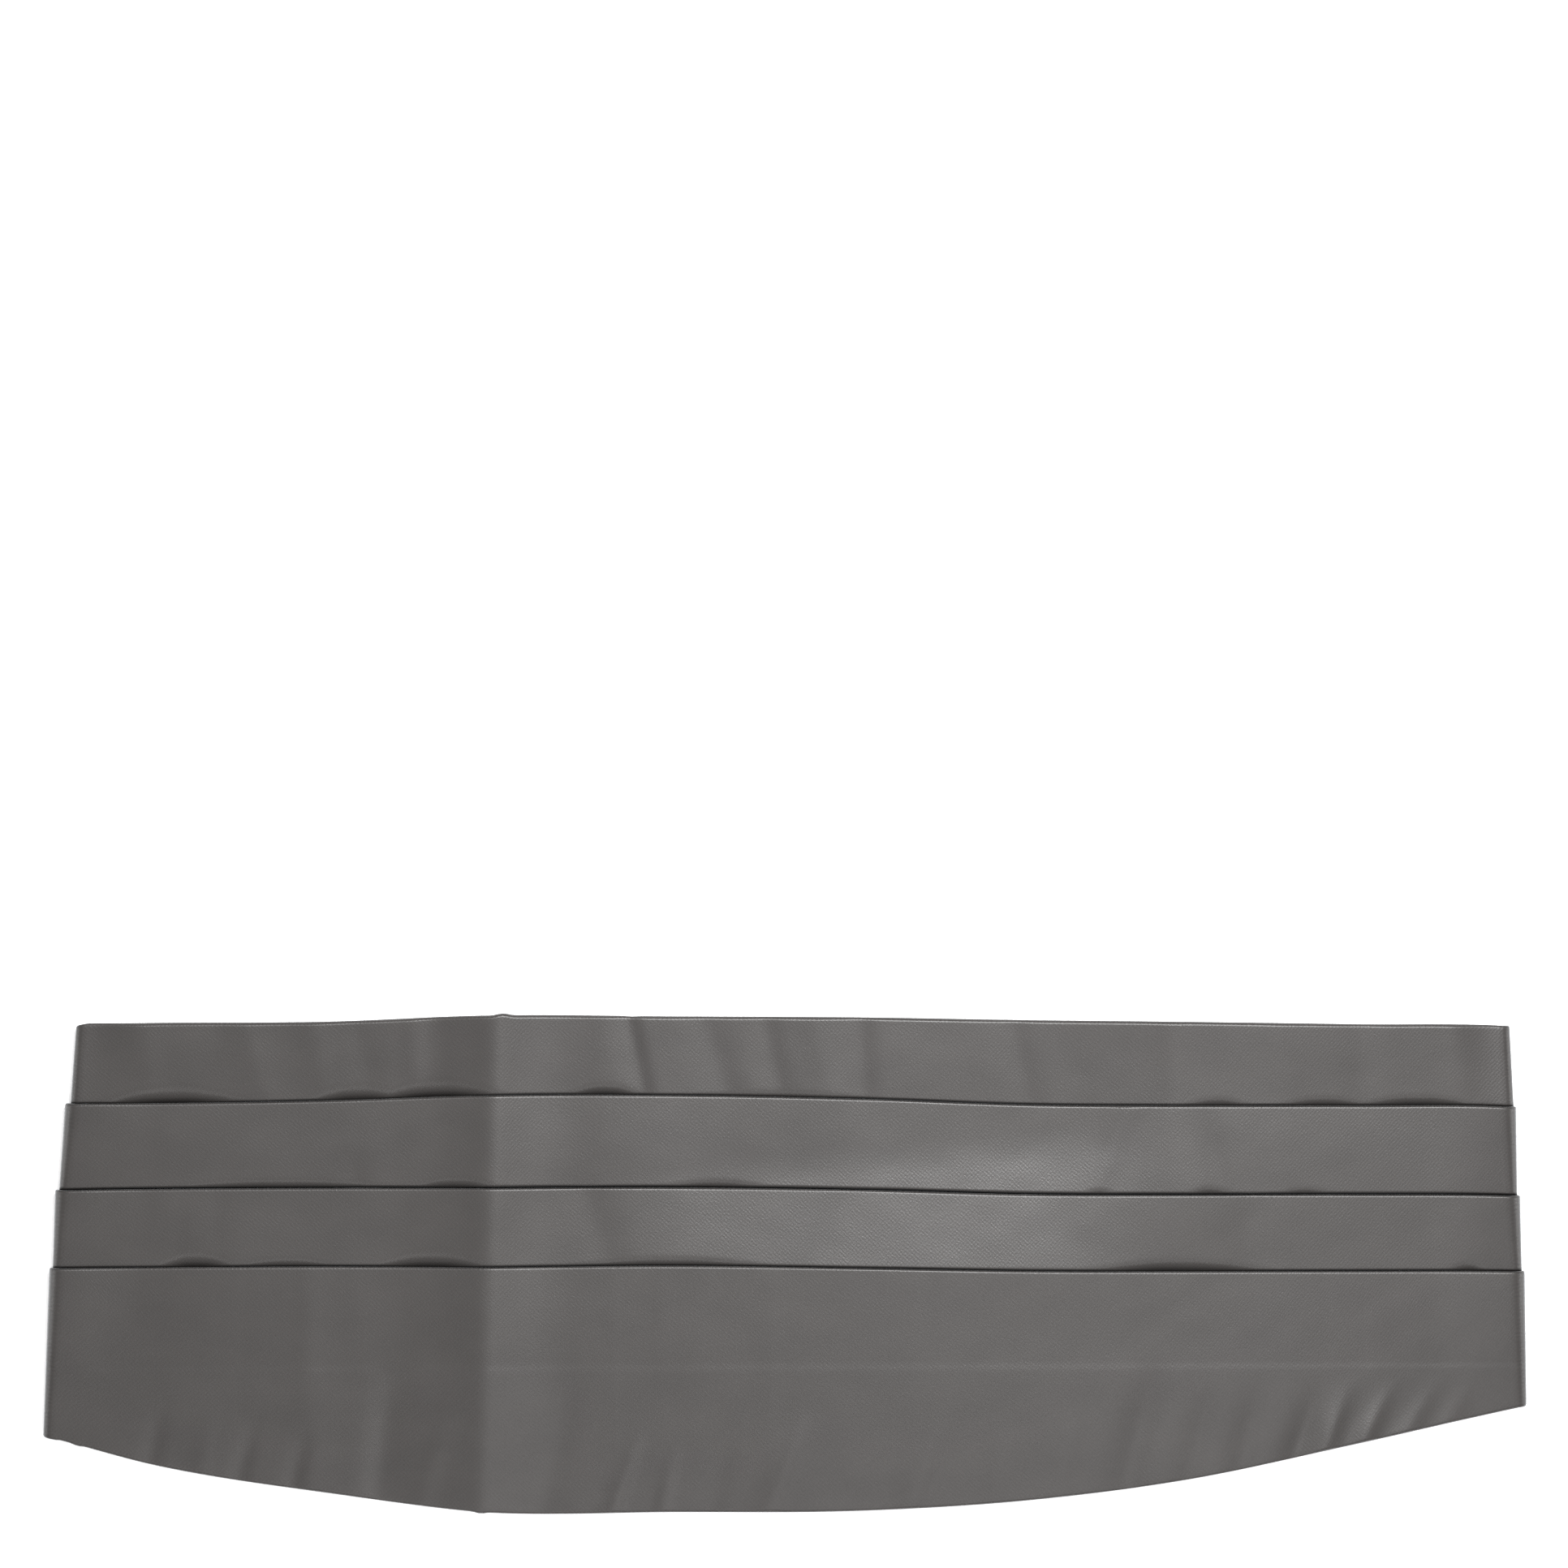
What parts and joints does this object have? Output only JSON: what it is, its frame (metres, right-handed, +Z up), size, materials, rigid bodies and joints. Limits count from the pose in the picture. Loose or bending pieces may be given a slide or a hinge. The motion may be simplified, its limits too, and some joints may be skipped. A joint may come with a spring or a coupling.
{
  "type": "cummerbund",
  "caption": "Pleated grey satin cummerbund lying flat, face up: pleats folded upwards, straight top, bowed lower edge, ends folded under and closed behind by a strap with hook and loop.",
  "frame": {"origin": "middle of the footprint, on the surface that the cummerbund lies on", "axes": "+X along its length, to the wearer's left, which is the picture's right; +Y towards its straight top edge; +Z up, out of the cloth's face"},
  "size_m": [0.3882, 0.1304, 0.0079],
  "materials": {
    "satin": "warm grey satin, fine diagonal grain, soft low sheen",
    "backing": "matt grey lining cloth",
    "strap_cloth": "matt woven elastic band, grey",
    "metal": "satin nickel"
  },
  "bodies": {
    "root": {"top_band": "satin", "pleat_upper": "satin", "pleat_lower": "satin", "lower_panel": "satin", "hidden_layers": "backing", "strap": "strap_cloth", "tab": "strap_cloth", "hook": "metal", "loop": "metal"}
  },
  "joints": []
}
